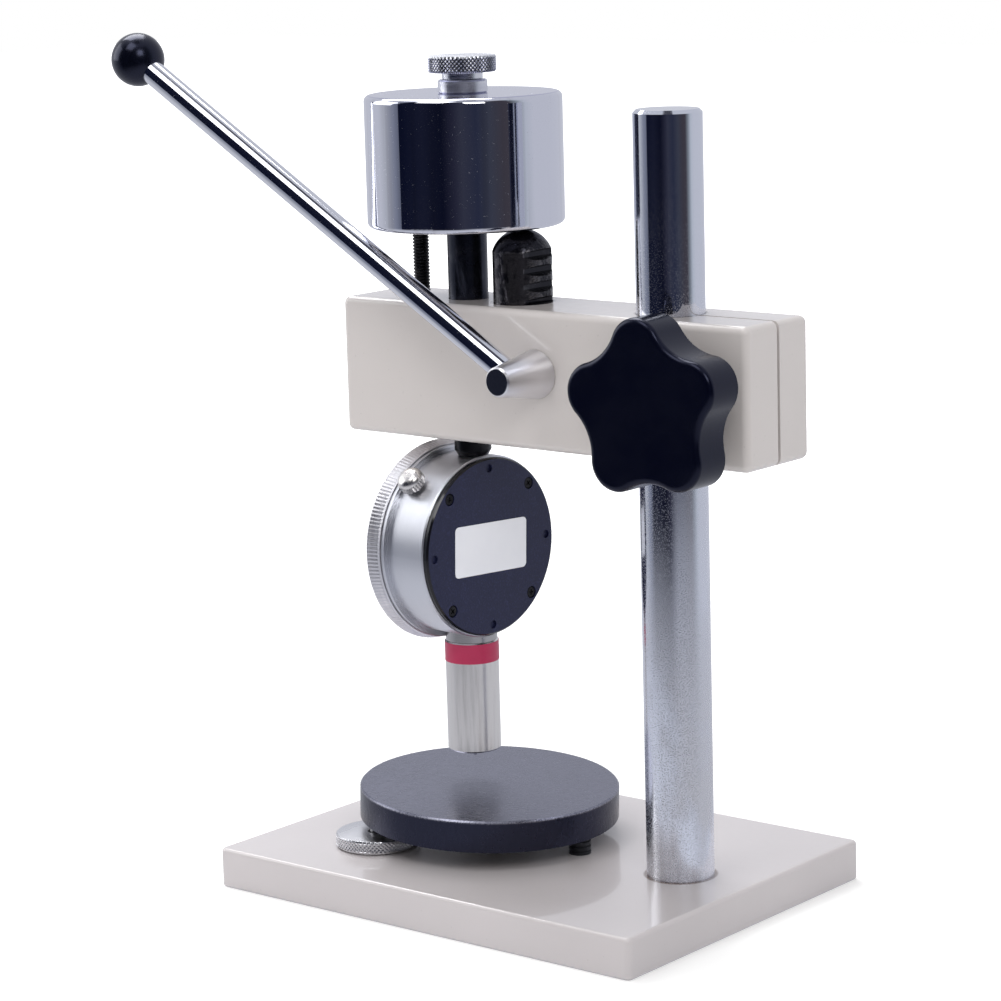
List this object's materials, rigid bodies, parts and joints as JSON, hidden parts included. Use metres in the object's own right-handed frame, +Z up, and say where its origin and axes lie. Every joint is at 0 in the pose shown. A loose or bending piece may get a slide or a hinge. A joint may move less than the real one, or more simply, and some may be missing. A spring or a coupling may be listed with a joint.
{
  "type": "rubber hardness tester",
  "caption": "Stand-mounted dial hardness tester: base with levelling platform, column, clamped arm, lever-lowered loaded spindle and dial gauge with sprung indenter.",
  "frame": {"origin": "centre of the base plate's underside, on the surface that the tester stands on", "axes": "+Z up along the column, +Y from the dial side to the column, +X towards the lever side"},
  "size_m": [0.116, 0.2337, 0.2576],
  "materials": {
    "base_paint": "semi-gloss warm light grey paint",
    "column_chrome": "polished chrome",
    "bolt_steel": "zinc plated steel",
    "pivot_black": "blackened steel",
    "platform_steel": "blued steel, finely turned",
    "stud_steel": "steel",
    "wheel_steel": "knurled bright steel",
    "arm_paint": "semi-gloss beige grey paint",
    "bush_brass": "turned bronze",
    "knob_plastic": "moulded black plastic",
    "screw_steel": "steel",
    "washer_steel": "plated steel washer",
    "shaft_steel": "machined steel",
    "hub_steel": "satin turned steel",
    "rod_chrome": "polished chrome",
    "ball_plastic": "glossy black plastic",
    "rack_steel": "blackened steel with bright tooth edges",
    "spindle_steel": "blackened steel, satin",
    "weight_chrome": "mirror chrome",
    "collar_steel": "bright turned steel",
    "guide_steel": "blackened threaded steel",
    "nut_steel": "blackened steel",
    "top_knob_steel": "knurled satin steel",
    "case_steel": "satin plated metal",
    "cover_paint": "matte blue-black paint",
    "cover_screw_steel": "blackened steel",
    "stem_steel": "steel",
    "stem_nut_steel": "blackened steel",
    "bezel_steel": "bright plated metal, serrated edge",
    "crystal_glass": "clear",
    "dial_paint": "matte white dial",
    "bezel_screw_steel": "polished chrome",
    "foot_steel": "satin nickel plate",
    "foot_ring_steel": "satin plated metal",
    "band_plastic": "crimson film",
    "indenter_steel": "hardened ground steel",
    "spring_steel": "spring steel wire",
    "movement_brass": "brass plate",
    "train_brass": "cut brass",
    "arbor_steel": "steel",
    "pointer_paint": "black painted"
  },
  "bodies": {
    "stand": {"base_plate": "base_paint", "column": "column_chrome", "column_bolt": "bolt_steel", "rear_pivot": "pivot_black"},
    "platform": {"platform_plate": "platform_steel", "levelling_studs": "stud_steel"},
    "wheel_right": {"levelling_wheel_right": "wheel_steel"},
    "wheel_left": {"levelling_wheel_left": "wheel_steel"},
    "arm": {"arm_block": "arm_paint", "pinion_bush": "bush_brass"},
    "clamp": {"star_knob": "knob_plastic", "clamp_screw": "screw_steel", "clamp_washer": "washer_steel"},
    "lever": {"pinion_shaft": "shaft_steel", "lever_hub": "hub_steel", "lever_rod": "rod_chrome", "ball_knob": "ball_plastic"},
    "rack": {"rack_rod": "rack_steel"},
    "head": {"spindle": "spindle_steel", "weight": "weight_chrome", "collar_nut": "collar_steel", "guide_rod": "guide_steel", "guide_nut": "nut_steel", "gauge_case": "case_steel", "back_cover": "cover_paint", "cover_screws": "cover_screw_steel", "gauge_stem": "stem_steel", "stem_nut": "stem_nut_steel", "foot_barrel": "foot_steel", "foot_ring": "foot_ring_steel", "foot_band": "band_plastic", "movement_plate": "movement_brass", "indenter_spring": "spring_steel"},
    "top_knob": {"top_knob": "top_knob_steel"},
    "bezel": {"bezel": "bezel_steel", "crystal": "crystal_glass", "dial_plate": "dial_paint"},
    "bezel_screw": {"bezel_screw": "bezel_screw_steel"},
    "indenter": {"indenter": "indenter_steel"},
    "transfer": {"transfer_wheel": "train_brass"},
    "pointer": {"pointer_arbor": "arbor_steel", "pointer": "pointer_paint"}
  },
  "joints": [
    {"name": "arm_height", "type": "slide", "parent": "stand", "child": "arm", "axis": [0, 0, 1], "range_m": [0, 0.055]},
    {"name": "clamp_turn", "type": "hinge", "parent": "arm", "child": "clamp", "pos_m": [0.01525, 0.07, 0.1566], "axis": [1, 0, 0], "range_deg": [0, 360]},
    {"name": "lever_turn", "type": "hinge", "parent": "arm", "child": "lever", "pos_m": [0, 0.0163, 0.1602], "axis": [1, 0, 0], "range_deg": [-2.5, 44]},
    {"name": "rack_slide", "type": "slide", "parent": "arm", "child": "rack", "axis": [0, 0, 1], "range_m": [-0.00693, 0.00041]},
    {"name": "head_slide", "type": "slide", "parent": "arm", "child": "head", "axis": [0, 0, 1], "range_m": [-0.00693, 0.00041]},
    {"name": "top_knob_turn", "type": "hinge", "parent": "head", "child": "top_knob", "pos_m": [0, -0.021, 0.2436], "axis": [0, 0, 1], "range_deg": [0, 720]},
    {"name": "wheel_right_turn", "type": "hinge", "parent": "stand", "child": "wheel_right", "pos_m": [0.02758, -0.04037, 0.0122], "axis": [0, 0, 1], "range_deg": [-216, 864]},
    {"name": "wheel_left_turn", "type": "hinge", "parent": "stand", "child": "wheel_left", "pos_m": [-0.02758, -0.04037, 0.0122], "axis": [0, 0, 1], "range_deg": [-216, 864]},
    {"name": "platform_tilt", "type": "hinge", "parent": "stand", "child": "platform", "pos_m": [0, 0.0164, 0.01864], "axis": [1, 0, 0], "range_deg": [-0.62, 2.43]},
    {"name": "bezel_turn", "type": "hinge", "parent": "head", "child": "bezel", "pos_m": [0, -0.021, 0.1032], "axis": [-0.0854, -0.9963, 0], "continuous": true},
    {"name": "bezel_screw_turn", "type": "hinge", "parent": "head", "child": "bezel_screw", "pos_m": [-0.00049, -0.02673, 0.1032], "axis": [0.6846, -0.0587, 0.7266], "range_deg": [0, 360]},
    {"name": "indenter_slide", "type": "slide", "parent": "head", "child": "indenter", "axis": [0, 0, 1], "range_m": [0, 0.0025], "stiffness_N_per_m": 3004, "springref_m": -0.00018, "deforming": ["indenter_spring"]},
    {"name": "transfer_turn", "type": "hinge", "parent": "head", "child": "transfer", "pos_m": [-0.00409, -0.02727, 0.09419], "axis": [-0.0854, -0.9963, 0], "range_deg": [0, 57.35]},
    {"name": "pointer_turn", "type": "hinge", "parent": "head", "child": "pointer", "pos_m": [0, -0.021, 0.1032], "axis": [-0.0854, -0.9963, 0], "range_deg": [-286.53, 0]}
  ],
  "couplings": [
    {"joint": "rack_slide", "follows": "lever_turn", "m_per_rad": -0.009},
    {"joint": "head_slide", "follows": "lever_turn", "m_per_rad": -0.009},
    {"joint": "wheel_left_turn", "follows": "wheel_right_turn", "ratio": 1},
    {"joint": "platform_tilt", "follows": "wheel_right_turn", "ratio": 0.0028034},
    {"joint": "transfer_turn", "follows": "indenter_slide", "rad_per_m": 400},
    {"joint": "pointer_turn", "follows": "indenter_slide", "rad_per_m": -2000}
  ]
}
